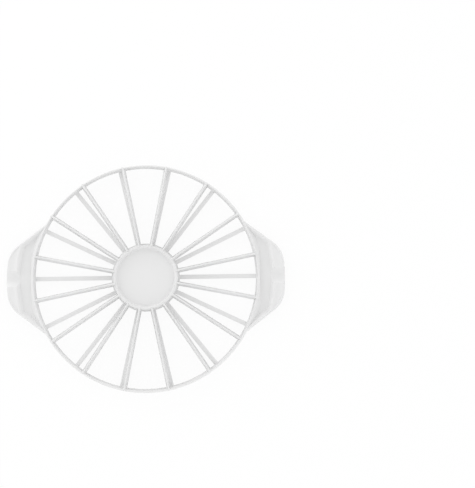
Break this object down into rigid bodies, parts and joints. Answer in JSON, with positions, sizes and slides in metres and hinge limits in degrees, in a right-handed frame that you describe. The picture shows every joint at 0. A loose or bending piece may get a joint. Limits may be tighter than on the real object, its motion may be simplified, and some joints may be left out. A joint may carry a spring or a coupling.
{
  "type": "cake portion marker",
  "caption": "Flat double-sided cake portion marker: a wheel of wedge-shaped marking bars around a dished hub, with a thumb-scooped handle at each end.",
  "frame": {"origin": "on the wheel's axis, in the plane that the crests of the lower bars rest on", "axes": "+Z along the wheel's axis, up to the 16-portion side; +X towards one handle and -X towards the other; +Y across the handles"},
  "size_m": [0.336, 0.275, 0.02],
  "materials": {
    "white_plastic": "white moulded plastic with a soft satin sheen"
  },
  "bodies": {
    "root": {"portion_marker": "white_plastic"}
  },
  "joints": []
}
